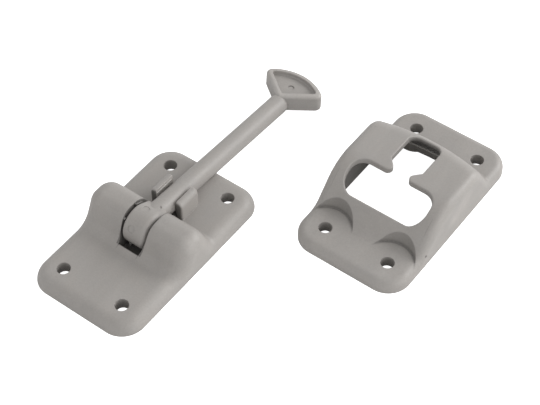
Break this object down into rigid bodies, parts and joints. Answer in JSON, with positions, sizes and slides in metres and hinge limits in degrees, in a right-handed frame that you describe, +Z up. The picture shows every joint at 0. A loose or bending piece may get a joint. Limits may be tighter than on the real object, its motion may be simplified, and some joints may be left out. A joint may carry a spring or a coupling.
{
  "type": "door holder set",
  "caption": "T-style door holder: a screw-down plate with a humped hinge and a swinging T-headed arm, and a hollow catch plate whose notched opening grips the arm.",
  "frame": {"origin": "centre of the holder's underside, on the mounting face", "axes": "+Z up off the mounting face, +Y along the stowed arm from the hinge to the T head, +X towards the catch"},
  "size_m": [0.1171, 0.1581, 0.0204],
  "materials": {
    "grey_moulded_plastic": "warm mid-grey moulding with a fine satin texture",
    "pin_steel": "drawn bright steel"
  },
  "bodies": {
    "holder": {"holder_base": "grey_moulded_plastic", "hinge_pin": "pin_steel", "catch_plate": "grey_moulded_plastic"},
    "arm": {"t_arm": "grey_moulded_plastic"}
  },
  "joints": [
    {"name": "arm_hinge", "type": "hinge", "parent": "holder", "child": "arm", "pos_m": [0, -0.0003, 0.00915], "axis": [1, 0, 0], "range_deg": [0, 160]}
  ]
}
